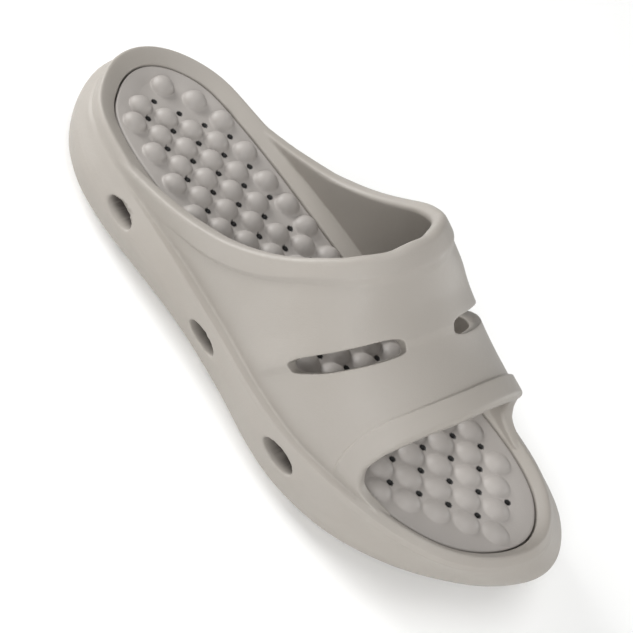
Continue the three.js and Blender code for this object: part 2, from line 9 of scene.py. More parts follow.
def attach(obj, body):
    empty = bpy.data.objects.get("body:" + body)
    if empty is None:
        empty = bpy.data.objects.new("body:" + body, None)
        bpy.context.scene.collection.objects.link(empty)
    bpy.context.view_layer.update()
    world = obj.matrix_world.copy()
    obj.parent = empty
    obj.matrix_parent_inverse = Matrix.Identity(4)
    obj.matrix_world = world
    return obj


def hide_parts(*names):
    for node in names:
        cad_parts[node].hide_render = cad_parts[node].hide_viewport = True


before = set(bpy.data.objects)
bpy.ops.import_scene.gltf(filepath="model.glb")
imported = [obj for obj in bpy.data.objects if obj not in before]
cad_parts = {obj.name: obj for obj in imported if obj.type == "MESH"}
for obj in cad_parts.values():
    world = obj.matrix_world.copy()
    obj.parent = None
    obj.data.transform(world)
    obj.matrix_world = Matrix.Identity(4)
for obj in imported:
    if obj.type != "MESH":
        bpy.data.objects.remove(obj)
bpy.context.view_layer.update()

# Camera: where the photographer stood, on the outer side and ahead of the sandal, rolled so that
# the toe points down to the right. It looks at the one sandal, which fills the frame.
MM = 0.001
PHOTO_PIXELS = 633
FOCAL_PIXELS = 1000
CAMERA_PLACE_MM = (412.87, 181.06, 442.17)
CAMERA_RIGHT = Vector((-0.7465, 0.5427, 0.385))
CAMERA_DOWN = Vector((0.2656, 0.7735, -0.5755))
SANDAL_CENTRE_PIXEL = (405, 312)
ZOOM = 1.5

camera_data = bpy.data.cameras.new("camera")
camera_data.sensor_width = 36
camera_data.lens = 36 * FOCAL_PIXELS / PHOTO_PIXELS * ZOOM
camera = bpy.data.objects.new("camera", camera_data)
bpy.context.scene.collection.objects.link(camera)
right = CAMERA_RIGHT.normalized()
back = right.cross(-CAMERA_DOWN).normalized()
up = back.cross(right)
turned = Matrix((right, up, back)).transposed().to_4x4()
camera.matrix_world = Matrix.Translation(Vector(CAMERA_PLACE_MM) * MM) @ turned
camera_data.shift_x = (SANDAL_CENTRE_PIXEL[0] / PHOTO_PIXELS - 0.5) * ZOOM
camera_data.shift_y = -(SANDAL_CENTRE_PIXEL[1] / PHOTO_PIXELS - 0.5) * ZOOM
bpy.context.scene.camera = camera

# Foam moulding: sole, rim and strap in one piece of closed-cell foam, injected and expanded in a
# steel mould. Every edge is rounded, because the foam shrinks as it cools, and the skin is matt.
SOLE_LENGTH = 285.5
BALL_WIDTH = 112
INSOLE_LENGTH = 259.5
INSOLE_WIDTH = 82
INSOLE_THICKNESS = 5
INSOLE_CENTRE_Y = 0.25
CLEARANCE = 0.3
CENTRE_SHIFT = (-0.166, -0.447)

# Outlines seen from above: at is the share of the length from the heel, then the reach to the outer
# and the inner side as shares of the width.
SOLE_OUTLINE = [
    ("at", "lateral", "medial"),
    (0.08, 0.333, 0.33),
    (0.16, 0.435, 0.415),
    (0.25, 0.468, 0.445),
    (0.34, 0.47, 0.447),
    (0.45, 0.465, 0.445),
    (0.55, 0.478, 0.455),
    (0.65, 0.507, 0.487),
    (0.72, 0.503, 0.503),
    (0.8, 0.452, 0.5),
    (0.88, 0.335, 0.468),
    (0.95, 0.165, 0.375),
]
SOLE_HEEL_X = -1
SOLE_TOE_X = -13
INSOLE_OUTLINE = [
    ("at", "lateral", "medial"),
    (0.03, 0.19, 0.24),
    (0.08, 0.325, 0.335),
    (0.16, 0.382, 0.37),
    (0.26, 0.385, 0.385),
    (0.38, 0.38, 0.388),
    (0.5, 0.41, 0.395),
    (0.62, 0.47, 0.445),
    (0.73, 0.49, 0.49),
    (0.82, 0.475, 0.488),
    (0.9, 0.4, 0.435),
    (0.96, 0.26, 0.33),
]
INSOLE_HEEL_X = -3
INSOLE_TOE_X = -6
HEIGHTS = [
    ("at", "ground", "bed", "dish", "dome"),
    (0, 2.6, 28.2, 0.6, 4.2),
    (0.06, 0.5, 27.7, 1.2, 4.2),
    (0.1, 0, 27.5, 1.5, 4.2),
    (0.3, 0, 27, 1.5, 4.2),
    (0.5, 0, 26, 1.2, 3.8),
    (0.66, 0, 26.2, 1, 3.2),
    (0.78, 1.5, 28.2, 0.8, 2.7),
    (0.9, 6, 32.2, 0.6, 2.4),
    (1, 12, 35.3, 0.3, 2.4),
]

# Section from the tread over the side wall and the rim to the footbed. Each ring: set in from the sole
# outline or out from the footbed's edge, and its height over the ground or over the footbed, at six
# places along the sole.
SECTION_AT = (0, 0.2, 0.42, 0.68, 0.86, 1)
SECTION_RINGS = [
    ("side", (9, 9, 9.5, 9, 8, 7), "ground", (3.5, 3.5, 3.5, 3.5, 3.5, 3.5)),
    ("side", (6, 6, 6.5, 6, 5.5, 5), "ground", (4.6, 4.6, 6, 5, 4.5, 4)),
    ("side", (2.4, 2.8, 3.4, 3.1, 3.2, 4), "ground", (5.4, 5.6, 8, 6, 5.5, 5)),
    ("side", (1, 1.3, 2, 1.6, 1.3, 1.7), "ground", (9, 9, 11.5, 10, 9, 9)),
    ("side", (0.9, 0.9, 0.6, 0.5, 0.2, 0), "ground", (17, 16, 17.5, 17.5, 16, 14)),
    ("edge", (9.9, 12.4, 17.2, 14.5, 8.6, 7.4), "bed", (-3.6, -3.4, -0.9, -1.3, -1.5, -1.6)),
    ("edge", (9.5, 11.2, 16.3, 13.6, 7.6, 6.6), "bed", (-2.8, -2.4, 0, 0, 0.8, 0.4)),
    ("edge", (8.9, 10.2, 12.6, 10.4, 5.6, 5.4), "bed", (-2.4, -2.1, 0.3, 0.3, 1.8, 1.7)),
    ("edge", (8.4, 9.6, 12, 9.4, 4.8, 4.6), "bed", (1.8, 1.8, 2.2, 2, 2.4, 2.5)),
    ("edge", (7.4, 8.2, 10.6, 8, 4, 3.8), "bed", (3.5, 3.6, 3.4, 2.8, 2.7, 3)),
    ("edge", (6.2, 6.6, 8.4, 6.4, 3, 3), "bed", (3.4, 3.2, 2.9, 2.4, 2.4, 2.7)),
    ("edge", (0.5, 0.5, 0.5, 0.5, 0.5, 0.5), "bed", (0.3, 0.3, 0.3, 0.3, 0.3, 0.3)),
]
CREASE_RING = 7
SHARP_RINGS = (5, 6, 7, 8, 11)


def column(rows, name):
    """One named column of a table as an array."""
    return np.array([row[rows[0].index(name)] for row in rows[1:]], float)


def smooth_curve(at, value):
    """Smooth curve through points, without overshoot."""
    rise = np.diff(value) / np.diff(at)
    slope = np.zeros(len(value))
    slope[0], slope[-1] = rise[0], rise[-1]
    same = rise[:-1] * rise[1:] > 0
    slope[1:-1][same] = 2 * rise[:-1][same] * rise[1:][same] / (rise[:-1] + rise[1:])[same]

    def value_at(place):
        x = np.clip(place, at[0], at[-1])
        k = np.clip(np.searchsorted(at, x, side="left") - 1, 0, len(at) - 2)
        span = at[k + 1] - at[k]
        s = (x - at[k]) / span
        start = (1 + 2 * s) * (1 - s) ** 2 * value[k] + s * (1 - s) ** 2 * span * slope[k]
        end = s * s * (3 - 2 * s) * value[k + 1] - s * s * (1 - s) * span * slope[k + 1]
        return start + end

    return value_at


def outline(rows, length, width, centre_y, heel_x, toe_x):
    """Closed outline round the foot; the turn is 0 at the heel, and half a turn at the toe."""
    turns = np.arccos(1 - 2 * column(rows, "at"))
    lateral, medial = column(rows, "lateral") * width, -column(rows, "medial") * width
    knot_turn = np.concatenate([[0], turns, [math.pi], 2 * math.pi - turns[::-1]])
    knot_x = np.concatenate([[heel_x], lateral, [toe_x], medial[::-1]])
    count = len(knot_turn)
    all_turn = np.concatenate([knot_turn - 2 * math.pi, knot_turn, knot_turn + 2 * math.pi])
    all_x = np.tile(knot_x, 3)

    def point_at(turn):
        place = np.mod(turn, 2 * math.pi)
        k = np.searchsorted(knot_turn, place, side="right") - 1 + count
        slope = (all_x[k + 1] - all_x[k - 1]) / (all_turn[k + 1] - all_turn[k - 1])
        next_slope = (all_x[k + 2 - (k + 2 >= 3 * count)] - all_x[k]) / (all_turn[k + 2] - all_turn[k])
        span = all_turn[k + 1] - all_turn[k]
        s = (place - all_turn[k]) / span
        start = (1 + 2 * s) * (1 - s) ** 2 * all_x[k] + s * (1 - s) ** 2 * span * slope
        end = s * s * (3 - 2 * s) * all_x[k + 1] - s * s * (1 - s) * span * next_slope
        return np.stack([start + end, centre_y - length / 2 * np.cos(place)], -1)

    return point_at


def set_out(line, turn, distance):
    """The outline set out along its normal (in, when negative)."""
    ahead = line(turn + 0.02) - line(turn - 0.02)
    ahead /= np.linalg.norm(ahead, axis=-1, keepdims=True)
    normal = np.stack([ahead[..., 1], -ahead[..., 0]], -1)
    return line(turn) + normal * np.asarray(distance)[..., None]


sole_line = outline(SOLE_OUTLINE, SOLE_LENGTH, BALL_WIDTH, 0, SOLE_HEEL_X, SOLE_TOE_X)
insole_line = outline(
    INSOLE_OUTLINE, INSOLE_LENGTH, INSOLE_WIDTH, INSOLE_CENTRE_Y, INSOLE_HEEL_X, INSOLE_TOE_X)
ground = smooth_curve(column(HEIGHTS, "at"), column(HEIGHTS, "ground"))
bed = smooth_curve(column(HEIGHTS, "at"), column(HEIGHTS, "bed"))
dish = smooth_curve(column(HEIGHTS, "at"), column(HEIGHTS, "dish"))
dome_height = smooth_curve(column(HEIGHTS, "at"), column(HEIGHTS, "dome"))


def sole_share(y):
    return np.clip(np.asarray(y) / SOLE_LENGTH + 0.5, 0, 1)


def turn_share(turn):
    return (1 - np.cos(turn)) / 2


def ring_point(ring, turn):
    """A ring of the section, as points on the given turns."""
    kind, out, base, height = ring
    share = turn_share(turn)
    distance = smooth_curve(np.array(SECTION_AT), np.array(out, float))(share)
    flat = set_out(sole_line, turn, -distance) if kind == "side" else set_out(insole_line, turn, distance)
    level = ground if base == "ground" else bed
    place = sole_share(flat[..., 1])
    z = level(place) + smooth_curve(np.array(SECTION_AT), np.array(height, float))(share)
    return np.concatenate([flat, z[..., None]], -1)


def bed_point(turn, reach, drop, edge_gap):
    """Surface of the footbed: reach 0 on its middle line, 1 at its edge."""
    rim = set_out(insole_line, turn, np.full(np.shape(turn), edge_gap))
    opposite = set_out(insole_line, 2 * math.pi - turn, np.full(np.shape(turn), edge_gap))
    flat = (rim + opposite) / 2 * (1 - reach) + rim * reach
    place = sole_share(flat[..., 1])
    z = bed(place) - dish(place) * (1 - reach * reach) - drop
    return np.concatenate([flat, z[..., None]], -1)


def mesh_object(name, points, faces):
    """A mesh from points in millimetres, in the part's frame."""
    place = (np.asarray(points, float) + (*CENTRE_SHIFT, 0)) * MM
    mesh = bpy.data.meshes.new(name)
    mesh.from_pydata(place.tolist(), [], [list(map(int, face)) for face in faces])
    mesh.update()
    made = bpy.data.objects.new(name, mesh)
    bpy.context.scene.collection.objects.link(made)
    return made


def stacked(name, loops):
    """Closed solid between stacked loops of equal size; ladders between opposite points close its ends."""
    loops = np.asarray(loops, float)
    rows, size = loops.shape[:2]
    k = np.arange(size)
    ahead = (k + 1) % size
    faces = []
    for row in range(rows - 1):
        low, high = row * size, (row + 1) * size
        faces += np.stack([low + k, low + ahead, high + ahead, high + k], 1).tolist()
    top = (rows - 1) * size
    for i in range(size // 2 - 1):
        far = size - 1 - i
        faces.append([i, far, far - 1, i + 1])
        faces.append([top + i, top + i + 1, top + far - 1, top + far])
    return mesh_object(name, loops.reshape(-1, 3), faces)


ROUND_STEPS = 420
ring_turns = 2 * math.pi * (np.arange(ROUND_STEPS) + 0.5) / ROUND_STEPS


def rounded(rings, steps):
    """Rings between the given ones on a smooth curve through them, which turns sharply at some."""
    made = [rings[0]]
    for k in range(len(rings) - 1):
        a, b, c, d = (rings[min(max(k + j, 0), len(rings) - 1)] for j in (-1, 0, 1, 2))
        length = np.linalg.norm(c - b, axis=1, keepdims=True)
        before = np.maximum(np.linalg.norm(b - a, axis=1, keepdims=True), 0.01)
        after = np.maximum(np.linalg.norm(d - c, axis=1, keepdims=True), 0.01)
        start, finish = c - b, c - b
        if k not in SHARP_RINGS:
            start = ((b - a) / before + (c - b) / length) / 2 * length
        if k + 1 not in SHARP_RINGS:
            finish = ((c - b) / length + (d - c) / after) / 2 * length
        for step in range(1, steps + 1):
            s = step / steps
            made.append(
                (2 * s**3 - 3 * s**2 + 1) * b + (s**3 - 2 * s**2 + s) * start
                + (3 * s**2 - 2 * s**3) * c + (s**3 - s**2) * finish)
    return made


wall_rings = rounded([ring_point(ring, ring_turns) for ring in SECTION_RINGS], 5)
seat_rings = [
    bed_point(ring_turns, 1, 0, CLEARANCE / 2),
    bed_point(ring_turns, 1, INSOLE_THICKNESS + CLEARANCE, CLEARANCE / 2),
    bed_point(ring_turns, 0.8, INSOLE_THICKNESS + CLEARANCE, CLEARANCE / 2),
]
sole = stacked("sole", wall_rings + seat_rings)

# Strap: lines over its arch, from the outer foot at 0 degrees to the inner at 180; each as a share of
# the footbed's length. Then the height of its ridge along the foot.
STRAP_WALL = 5
STRAP_FOOT_DEPTH = 1.5
STRAP_FOOT_SINK = 0.5
COLLAR_BAND_RISE = 1.2
COLLAR_ROUND = 2.9
TRIM_BAND_RISE = 1.5
FRONT_ROUND = 2.2
PANEL_STEP_RISE = 0.9
PANEL_RAMP = 14
STRAP_LINES = [
    ("around", "collar", "band", "slot", "trim", "front"),
    (0, 0.12, 0.26, 0.6, 0.782, 0.87),
    (4, 0.19, 0.32, 0.606, 0.777, 0.832),
    (8, 0.266, 0.38, 0.613, 0.774, 0.817),
    (13, 0.342, 0.43, 0.623, 0.771, 0.809),
    (20, 0.415, 0.48, 0.637, 0.768, 0.803),
    (31, 0.486, 0.536, 0.659, 0.767, 0.804),
    (42, 0.534, 0.575, 0.676, 0.77, 0.809),
    (56, 0.573, 0.608, 0.692, 0.778, 0.815),
    (75, 0.596, 0.63, 0.706, 0.786, 0.823),
    (90, 0.597, 0.634, 0.7095, 0.789, 0.825),
    (103, 0.586, 0.623, 0.708, 0.789, 0.825),
    (120, 0.558, 0.597, 0.699, 0.787, 0.823),
    (134, 0.514, 0.557, 0.685, 0.785, 0.82),
    (146, 0.47, 0.517, 0.664, 0.782, 0.815),
    (159, 0.405, 0.462, 0.64, 0.78, 0.811),
    (167, 0.343, 0.42, 0.623, 0.78, 0.813),
    (173, 0.255, 0.37, 0.613, 0.783, 0.822),
    (176, 0.19, 0.32, 0.606, 0.786, 0.835),
    (180, 0.12, 0.26, 0.6, 0.79, 0.87),
]
STRAP_RIDGE = [
    ("at", "top"),
    (0.1, 100),
    (0.45, 101),
    (0.55, 99.5),
    (0.62, 92),
    (0.674, 80.5),
    (0.736, 71.5),
    (0.786, 67.5),
    (0.83, 65.3),
    (0.95, 60),
]
ridge = smooth_curve(column(STRAP_RIDGE, "at"), column(STRAP_RIDGE, "top"))
strap_line = {
    name: smooth_curve(column(STRAP_LINES, "around"), column(STRAP_LINES, name))
    for name in ("collar", "band", "slot", "trim", "front")
}


def arch_point(share, around):
    """Elliptical arch over the foot, from crease to crease."""
    share, around = np.broadcast_arrays(share, around)
    turn = np.arccos(1 - 2 * np.clip(share, 0.001, 0.999))
    outer = ring_point(SECTION_RINGS[CREASE_RING], turn)
    inner = ring_point(SECTION_RINGS[CREASE_RING], 2 * math.pi - turn)
    angle = np.radians(around)
    point = outer + (inner - outer) * ((1 - np.cos(angle)) / 2)[..., None]
    point[..., 2] += (ridge(share) - point[..., 2]) * np.sin(angle)
    return point


def strap_point(share, around, out):
    """Point of the strap, set out along its normal."""
    low = np.clip(around, 1.5, 178.5)
    forward = arch_point(share + 0.01, low) - arch_point(share - 0.01, low)
    over = arch_point(share, low + 1.5) - arch_point(share, low - 1.5)
    normal = np.cross(forward, over)
    normal /= np.linalg.norm(normal, axis=-1, keepdims=True)
    return arch_point(share, around) + normal * np.asarray(out)[..., None]


def smooth_step(x, start, end):
    s = np.clip((x - start) / (end - start), 0, 1)
    return s * s * (3 - 2 * s)


def stretches(around):
    """Places along the foot, in millimetres, close together where the surface turns."""
    at = {name: float(line(around)) * INSOLE_LENGTH for name, line in strap_line.items()}
    quarter = 1 - np.cos(np.linspace(0, math.pi / 2, 7))
    return at, np.concatenate([
        at["collar"] + COLLAR_ROUND * quarter,
        np.linspace(at["collar"] + COLLAR_ROUND + 0.6, at["band"] - 2, 5),
        np.linspace(at["band"] - 1.6, at["band"] + 1.8, 9),
        np.linspace(at["band"] + 2.4, at["slot"] - PANEL_RAMP, 8),
        np.linspace(at["slot"] - PANEL_RAMP + 1, at["slot"] - 2.2, 10),
        np.linspace(at["slot"] - 1.8, at["slot"] + 1.8, 9),
        np.linspace(at["slot"] + 2.4, at["trim"] - 1, 12),
        np.linspace(at["trim"] - 0.6, at["trim"] + 0.6, 9),
        np.linspace(at["trim"] + 1.5, at["front"] - FRONT_ROUND - 0.5, 5),
        at["front"] - FRONT_ROUND * quarter[::-1],
    ])


def strap_section(around, drop):
    """Closed section of the strap: outer face from collar to front, inner face back."""
    at, place = stretches(around)
    from_foot = min(around, 180 - around)
    lift = float(smooth_step(from_foot, 0, 12))
    rise = COLLAR_BAND_RISE * (1 - smooth_step(place, at["band"] - 1.6, at["band"] + 1.6))
    rise += PANEL_STEP_RISE * smooth_step(place, at["slot"] - PANEL_RAMP, at["slot"] - 1.6) * (
        1 - smooth_step(place, at["slot"] - 1.6, at["slot"] + 1.6))
    rise += TRIM_BAND_RISE * smooth_step(place, at["trim"] - 0.3, at["trim"] + 0.3)
    collar_in = np.clip(1 - (place - at["collar"]) / COLLAR_ROUND, 0, 1)
    front_in = np.clip(1 - (at["front"] - place) / FRONT_ROUND, 0, 1)
    turn_in = COLLAR_ROUND * (1 - np.sqrt(1 - collar_in**2)) + FRONT_ROUND * (1 - np.sqrt(1 - front_in**2))
    share = place / INSOLE_LENGTH
    angle = np.full(len(share), float(around))
    outer = strap_point(share, angle, 0.2 + rise * lift - STRAP_FOOT_SINK * (1 - lift) - turn_in)
    inner = strap_point(share, angle, turn_in * 0.8 - STRAP_WALL)
    section = np.concatenate([outer, inner[::-1]])
    section[:, 2] -= drop
    return section


ARCH_STEPS = 190
even = np.arange(ARCH_STEPS + 1) / ARCH_STEPS
arch_angles = 180 * (even - 0.09 * np.sin(2 * math.pi * even))
strap = stacked("strap", [
    strap_section(0, STRAP_FOOT_DEPTH),
    *[strap_section(angle, 0) for angle in arch_angles],
    strap_section(180, STRAP_FOOT_DEPTH),
])

# Openings of the moulding: two slots through the strap, three vents in each side wall that run to a
# drain channel under the footbed, and the hollow of the tread under the arch of the foot.
SLOT_WIDTH = 6.5
SLOTS = [("from", "to"), (17, 67.5), (95.5, 163)]
VENT_LENGTH = 17.5
VENTS = [("at", "height", "tall"), (0.268, 18.7, 4.8), (0.492, 18, 6), (0.69, 19.2, 6.6)]
DRAIN_WIDTH = 12
DRAIN_DEPTH = 3
HOLLOW_LENGTH = 66
HOLLOW_DEPTH = 17
HOLLOW_HEIGHT = 6.5
HOLLOW_AT = 0.4
cutters = []


def seat_floor(y):
    return bed(sole_share(y)) - INSOLE_THICKNESS - CLEARANCE


for start, stop in SLOTS[1:]:
    reach = np.cos(2 * math.pi * (np.arange(64) + 0.5) / 64)
    sign = np.sign(np.sin(2 * math.pi * (np.arange(64) + 0.5) / 64))
    angle = (start + stop) / 2 - (stop - start) / 2 * reach
    width = SLOT_WIDTH / 2 * (1 - reach**4) ** 0.25
    share = strap_line["slot"](angle) + sign * width / INSOLE_LENGTH
    depths = (-STRAP_WALL - 4, 5)
    cutters.append((strap, stacked("slot", [strap_point(share, angle, np.full(64, d)) for d in depths])))
for at, height, tall in VENTS[1:]:
    for side in (1, -1):
        wall = set_out(sole_line, np.array(side * math.acos(1 - 2 * at)), np.array(3.0))
        angle = side * 2 * math.pi * (np.arange(40) + 0.5) / 40
        y = wall[1] + VENT_LENGTH / 2 * np.cos(angle)
        z = tall / 2 * np.sin(angle)
        vent = stacked("vent", [
            np.stack([np.full(40, x), y, middle + z], 1)
            for x, middle in ((0, seat_floor(wall[1])), (wall[0], height))
        ])
        cutters += [(sole, vent), (strap, vent)]
y = SOLE_LENGTH * (np.linspace(VENTS[1][0] - 0.035, VENTS[-1][0] + 0.035, 16) - 0.5)
half = np.full(16, DRAIN_WIDTH / 2)
strips = []
for z in (seat_floor(y) - DRAIN_DEPTH, seat_floor(y) + DRAIN_DEPTH / 2):
    strips.append(np.concatenate([np.stack([half, y, z], 1), np.stack([-half, y, z], 1)[::-1]]))
cutters.append((sole, stacked("drain", strips)))
hollow_middle = sole_line(np.array(2 * math.pi - math.acos(1 - 2 * HOLLOW_AT)))
angle = 2 * math.pi * (np.arange(60) + 0.5) / 60


def hollow(name):
    """Cutter for the hollow under the arch of the foot."""
    return stacked(name, [
        np.stack([
            hollow_middle[0] + HOLLOW_DEPTH * reach * np.cos(angle),
            hollow_middle[1] + HOLLOW_LENGTH / 2 * reach * np.sin(angle),
            np.full(60, float(height)),
        ], 1)
        for reach, height in ((1.08, -1), (1, 1.4), (0.9, 3.5), (0.7, 5.6), (0.5, HOLLOW_HEIGHT))
    ])


cutters.append((sole, hollow("hollow")))


def plain_mesh(made):
    """The object's mesh with its modifiers applied."""
    graph = bpy.context.evaluated_depsgraph_get()
    mesh = bpy.data.meshes.new_from_object(made.evaluated_get(graph), depsgraph=graph)
    old = made.data
    made.modifiers.clear()
    made.data = mesh
    bpy.data.meshes.remove(old)


def drop(*objects):
    for gone in objects:
        bpy.data.objects.remove(gone)


for solid, cutter in cutters:
    cut = solid.modifiers.new("cut", "BOOLEAN")
    cut.operation = "DIFFERENCE"
    cut.solver = "EXACT"
    cut.object = cutter
for solid in (sole, strap):
    plain_mesh(solid)
drop(*{cutter for solid, cutter in cutters})

# The two are moulded whole: joined through a fine voxel grid, whose smoothing gives the small fillets.
FOAM_GRID = 0.4
FOAM_TRIANGLES = 190000
both = bmesh.new()
both.from_mesh(sole.data)
both.from_mesh(strap.data)
joined = bpy.data.meshes.new("upper_and_sole_foam")
both.to_mesh(joined)
both.free()
moulding = bpy.data.objects.new("upper_and_sole_foam", joined)
bpy.context.scene.collection.objects.link(moulding)
drop(sole, strap)
grid = moulding.modifiers.new("grid", "REMESH")
grid.mode = "VOXEL"
grid.voxel_size = FOAM_GRID * MM
grid.use_smooth_shade = True
soften = moulding.modifiers.new("soften", "SMOOTH")
soften.factor = 0.5
soften.iterations = 2
plain_mesh(moulding)

# Where the collar grows out of the rim, the two run into each other in a wider fillet. The vents' edges
# are a little rounder than the rest.
FOOT_BLEND = 8
FOOT_BLEND_STEPS = 80
VENT_BLEND = 0.3
VENT_BLEND_DEPTH = 14.0
VENT_BLEND_ROOM = 2
blend_angles = np.concatenate([np.arange(0, 13), 180 - np.arange(0, 13)]).astype(float)
blend_places = strap_point(strap_line["collar"](blend_angles), blend_angles, np.zeros(26))


def skin_places():
    """Points of the moulding's skin, in millimetres."""
    found = np.empty(len(moulding.data.vertices) * 3)
    moulding.data.vertices.foreach_get("co", found)
    return found.reshape(-1, 3) / MM - (*CENTRE_SHIFT, 0)


skin_points = skin_places()
to_foot = np.min([np.linalg.norm(skin_points - place, axis=1) for place in blend_places], axis=0)
blended = moulding.vertex_groups.new(name="round_edges")
for at, height, tall in VENTS[1:]:
    for side in (1, -1):
        turn = np.array(side * math.acos(1 - 2 * at))
        wall = set_out(sole_line, turn, np.array(-VENT_BLEND_DEPTH))
        way = skin_points - (wall[0], wall[1], height)
        near_vent = (way[:, 0] * side > 0) & (
            (way[:, 1] / (VENT_LENGTH / 2 + VENT_BLEND_ROOM)) ** 2
            + (way[:, 2] / (tall / 2 + VENT_BLEND_ROOM)) ** 2 < 1)
        blended.add(np.flatnonzero(near_vent).tolist(), VENT_BLEND, "REPLACE")
for share in (0.25, 0.5, 0.75, 1):
    picked = np.flatnonzero(to_foot < FOOT_BLEND * (1.25 - share))
    blended.add(picked.tolist(), share, "REPLACE")
blend = moulding.modifiers.new("blend", "SMOOTH")
blend.factor = 0.5
blend.iterations = FOOT_BLEND_STEPS
blend.vertex_group = "round_edges"
plain_mesh(moulding)
moulding.vertex_groups.clear()
triangles = sum(len(face.vertices) - 2 for face in moulding.data.polygons)
thin = moulding.modifiers.new("thin", "DECIMATE")
thin.ratio = min(1, FOAM_TRIANGLES / triangles)
plain_mesh(moulding)
moulding.data.polygons.foreach_set("use_smooth", [True] * len(moulding.data.polygons))

FOAM_GREY = "#a09b95"
FOAM_GREY_WARM = "#9a948c"


def linear(colour):
    """sRGB hex to linear colour."""
    parts = [int(colour[k:k + 2], 16) / 255 for k in (1, 3, 5)]
    return [p / 12.92 if p <= 0.04045 else ((p + 0.055) / 1.055) ** 2.4 for p in parts] + [1]


def add(tree, kind, links=(), **settings):
    """Adds a node, sets its sockets and properties, and links sockets to it."""
    node = tree.nodes.new(kind)
    for name, value in settings.items():
        if hasattr(node, name):
            setattr(node, name, value)
        else:
            node.inputs[name.replace("_", " ")].default_value = value
    for socket, source in dict(links).items():
        tree.links.new(source, node.inputs[socket])
    return node


def moulded_foam(name, colour, warm, shade_attribute, shade_colour):
    """Closed-cell foam with the matt skin of a sand-blasted mould: fine pits, faint flow clouds. The inside
    of its holes gets painted shade: where the attribute is set, the colour is mixed towards a dark one."""
    made = bpy.data.materials.new(name)
    made.use_nodes = True
    tree = made.node_tree
    shader = tree.nodes["Principled BSDF"]
    shader.inputs["IOR"].default_value = 1.45
    place = add(tree, "ShaderNodeTexCoord").outputs["Object"]
    clouds = add(tree, "ShaderNodeTexNoise", {"Vector": place}, Scale=28.0, Detail=3.0)
    skin = add(tree, "ShaderNodeTexNoise", {"Vector": place}, Scale=1600.0, Detail=2.0)
    pits = add(tree, "ShaderNodeTexNoise", {"Vector": place}, Scale=420.0, Detail=2.0)
    tint = add(tree, "ShaderNodeMix", {"Factor": clouds.outputs["Fac"]}, data_type="RGBA")
    tint.inputs[6].default_value = linear(colour)
    tint.inputs[7].default_value = linear(warm)
    # Painted shade: the attribute mixes the foam colour towards a dark shade colour inside holes.
    hole = add(tree, "ShaderNodeAttribute", attribute_name=shade_attribute)
    dark = add(tree, "ShaderNodeMix", {"Factor": hole.outputs["Fac"]}, data_type="RGBA")
    tree.links.new(tint.outputs[2], dark.inputs[6])
    dark.inputs[7].default_value = linear(shade_colour)
    tree.links.new(dark.outputs[2], shader.inputs["Base Color"])
    gloss = add(tree, "ShaderNodeMapRange", {"Value": pits.outputs["Fac"]}, To_Min=0.46, To_Max=0.6)
    tree.links.new(gloss.outputs["Result"], shader.inputs["Roughness"])
    relief = add(tree, "ShaderNodeBump", {"Height": skin.outputs["Fac"]}, Strength=0.25, Distance=0.0002)
    dents = add(tree, "ShaderNodeBump", {"Height": pits.outputs["Fac"], "Normal": relief.outputs["Normal"]},
                Strength=0.15, Distance=0.0004)
    tree.links.new(dents.outputs["Normal"], shader.inputs["Normal"])
    return made


# How deep inside a vent its painted shade starts, is at its darkest, and ends.
DUCT_DARK_FROM = 2
DUCT_DARK_AT = 9
DUCT_DARK_END = 16
skin_points = skin_places()
duct_shade = np.zeros(len(skin_points))
for at, height, tall in VENTS[1:]:
    for side in (1, -1):
        wall = sole_line(np.array(side * math.acos(1 - 2 * at)))
        way = skin_points - (wall[0], wall[1], height)
        within = (way[:, 1] / (VENT_LENGTH / 2 + 1)) ** 2 + (way[:, 2] / (tall / 2 + 1.2)) ** 2 < 1
        depth = -way[:, 0] * side
        within &= depth < DUCT_DARK_END
        duct_shade = np.maximum(duct_shade, within * smooth_step(depth, DUCT_DARK_FROM, DUCT_DARK_AT))
moulding.data.attributes.new("duct_shade", "FLOAT", "POINT").data.foreach_set("value", duct_shade)
# The vents' inside gets painted shade: the foam is mixed towards a dark brown-grey, more so deeper in.
foam = moulded_foam("moulded_eva_foam", FOAM_GREY, FOAM_GREY_WARM, "duct_shade", "#4f4844")
moulding.data.materials.clear()
moulding.data.materials.append(foam)
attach(moulding, "root")
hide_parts("upper_and_sole")

# Tread: seven pads with bevelled edges on the underside, moulded with the sole. Each carries short
# cuts, called sipes, along a net of triangles, which open as the sole bends and grip wet floors.
PAD_HEIGHT = 3.5
PAD_BEVEL = 1.4
PAD_ROOT = 1
GROOVE_WIDTH = 6
TREAD_INSET = (9, 9, 9.5, 9, 8, 7)
GROOVES = [
    [(-62, 0.752), (0, 0.742), (62, 0.75)],
    [(-60, 0.522), (0, 0.527), (60, 0.53)],
    [(-58, 0.286), (0, 0.292), (58, 0.29)],
    [(8, 0.292), (10, 0.4), (8, 0.527), (3, 0.64), (-2, 0.742), (-12, 0.8)],
]
SIPE_NET = 13.5
SIPE_GAP = 1.5
SIPE_WIDTH = 1.0
SIPE_DEPTH = 1.3
SIPE_MARGIN = 4.2


def tread_edge(turn, inward):
    inset = smooth_curve(np.array(SECTION_AT), np.array(TREAD_INSET, float))(turn_share(turn))
    return set_out(sole_line, turn, -inset - inward)


def groove_line(corners):
    """Smooth line through a groove's corners, as x and y in millimetres."""
    knots = np.array([(x, (at - 0.5) * SOLE_LENGTH) for x, at in corners], float)
    run = np.concatenate([[0], np.cumsum(np.linalg.norm(np.diff(knots, axis=0), axis=1))])
    place = np.linspace(0, run[-1], 24)
    return np.stack([smooth_curve(run, knots[:, 0])(place), smooth_curve(run, knots[:, 1])(place)], 1)


def tread_ring(inward, height):
    flat = tread_edge(ring_turns, inward)
    return np.concatenate([flat, np.full((ROUND_STEPS, 1), float(height))], 1)


